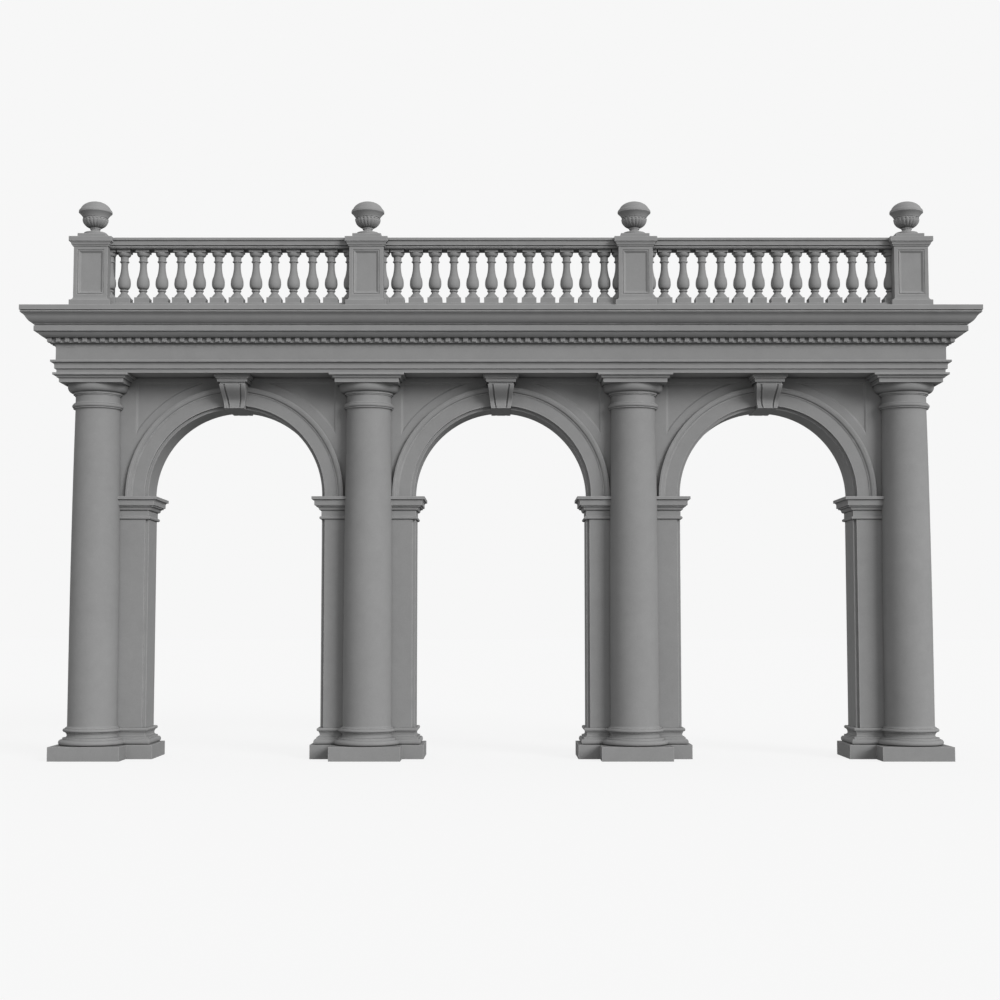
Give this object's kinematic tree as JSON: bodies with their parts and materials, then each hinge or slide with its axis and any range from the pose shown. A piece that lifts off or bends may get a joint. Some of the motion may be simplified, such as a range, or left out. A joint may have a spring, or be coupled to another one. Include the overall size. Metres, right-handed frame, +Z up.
{
  "type": "colonnade",
  "caption": "Free-standing masonry arcade of engaged Tuscan columns and round arches, carrying an entablature with dentils and a balustrade topped by urns.",
  "frame": {"origin": "on the ground, in the middle of the footprint of the whole colonnade (the cornice's outline)", "axes": "+X along the colonnade to the right as seen from the front, +Y from the front with the columns to the back, +Z up"},
  "size_m": [12.628, 2.044, 7.487],
  "materials": {
    "stone": "matt dressed stone, neutral grey"
  },
  "bodies": {
    "root": {"base_1": "stone", "base_2": "stone", "base_3": "stone", "base_4": "stone", "pier_1": "stone", "pier_2": "stone", "pier_3": "stone", "pier_4": "stone", "column_shaft_1": "stone", "column_shaft_2": "stone", "column_shaft_3": "stone", "column_shaft_4": "stone", "capital_1": "stone", "capital_2": "stone", "capital_3": "stone", "capital_4": "stone", "impost_1": "stone", "impost_2": "stone", "impost_3": "stone", "impost_4": "stone", "spandrel_wall_1": "stone", "spandrel_wall_2": "stone", "spandrel_wall_3": "stone", "archivolt_1": "stone", "archivolt_2": "stone", "archivolt_3": "stone", "keystone_1": "stone", "keystone_2": "stone", "keystone_3": "stone", "architrave": "stone", "frieze": "stone", "dentil_course": "stone", "cornice": "stone", "balustrade_rails": "stone", "balusters_1": "stone", "balusters_2": "stone", "balusters_3": "stone", "pedestal_1": "stone", "pedestal_2": "stone", "pedestal_3": "stone", "pedestal_4": "stone", "urn_1": "stone", "urn_2": "stone", "urn_3": "stone", "urn_4": "stone"}
  },
  "joints": []
}
